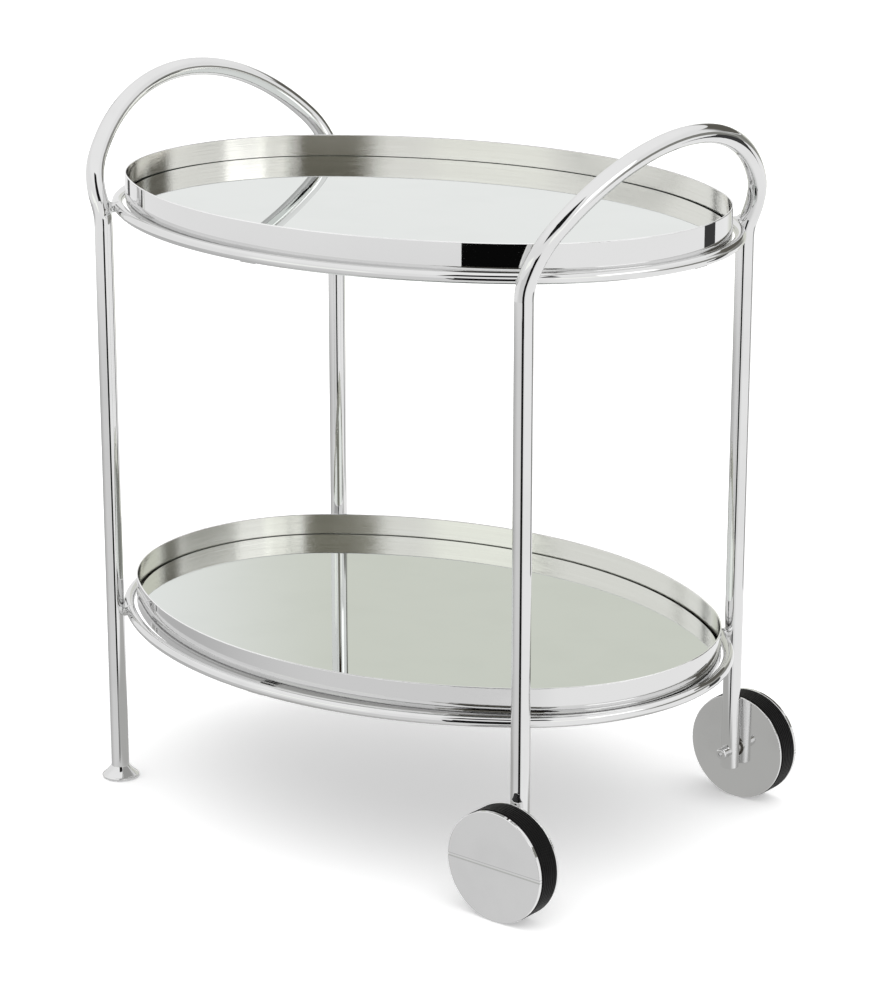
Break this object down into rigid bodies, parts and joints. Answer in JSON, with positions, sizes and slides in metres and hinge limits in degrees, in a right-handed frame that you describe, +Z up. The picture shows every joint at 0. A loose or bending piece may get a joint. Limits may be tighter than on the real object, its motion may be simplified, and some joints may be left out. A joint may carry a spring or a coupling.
{
  "type": "bar cart",
  "caption": "Oval bar cart with leaning tube hoops as handles and legs, mirror trays on bar rings, wheels at one end and flared feet at the other.",
  "frame": {"origin": "on the floor under the middle of the cart", "axes": "+Z up, the longest extent; +X along the ovals towards the wheel end; -Y towards the front"},
  "size_m": [0.7455, 0.561, 0.7964],
  "materials": {
    "polished_tube": "mirror polished",
    "polished_bar": "mirror polished",
    "polished_disc": "mirror polished",
    "tray_steel": "polished outside, brushed inside",
    "mirror_glass": "polished, ground edge",
    "felt": "matte",
    "board": "painted black",
    "tyre": "smooth matte",
    "nylon": "moulded",
    "bronze": "plain",
    "plain_steel": "plain"
  },
  "bodies": {
    "frame": {"foot_end_hoop": "polished_tube", "wheel_end_hoop": "polished_tube", "front_foot": "polished_tube", "rear_foot": "polished_tube", "leg_end_plugs": "polished_tube", "foot_glides": "felt", "leg_inserts": "nylon", "axle_saddles": "plain_steel", "axle_spacers": "plain_steel", "axle_nuts": "plain_steel", "upper_ring": "polished_bar", "upper_ring_welds": "polished_bar", "upper_tray_lugs": "plain_steel", "upper_tray": "tray_steel", "upper_tray_studs": "plain_steel", "upper_tray_nuts": "plain_steel", "upper_mirror_board": "board", "upper_mirror_felt": "felt", "upper_mirror": "mirror_glass", "lower_ring": "polished_bar", "lower_ring_welds": "polished_bar", "lower_tray_lugs": "plain_steel", "lower_tray": "tray_steel", "lower_tray_studs": "plain_steel", "lower_tray_nuts": "plain_steel", "lower_mirror_board": "board", "lower_mirror_felt": "felt", "lower_mirror": "mirror_glass", "front_axle_bolt": "plain_steel", "rear_axle_bolt": "plain_steel"},
    "front_wheel": {"front_wheel_inner_disc": "polished_disc", "front_wheel_outer_disc": "polished_disc", "front_wheel_core": "nylon", "front_wheel_bush": "bronze", "front_wheel_tyre": "tyre"},
    "rear_wheel": {"rear_wheel_inner_disc": "polished_disc", "rear_wheel_outer_disc": "polished_disc", "rear_wheel_core": "nylon", "rear_wheel_bush": "bronze", "rear_wheel_tyre": "tyre"}
  },
  "joints": [
    {"name": "front_wheel_spin", "type": "hinge", "parent": "frame", "child": "front_wheel", "pos_m": [0.29, -0.21946, 0.06], "axis": [0, 1, 0], "continuous": true},
    {"name": "rear_wheel_spin", "type": "hinge", "parent": "frame", "child": "rear_wheel", "pos_m": [0.29, 0.21946, 0.06], "axis": [0, 1, 0], "continuous": true}
  ]
}
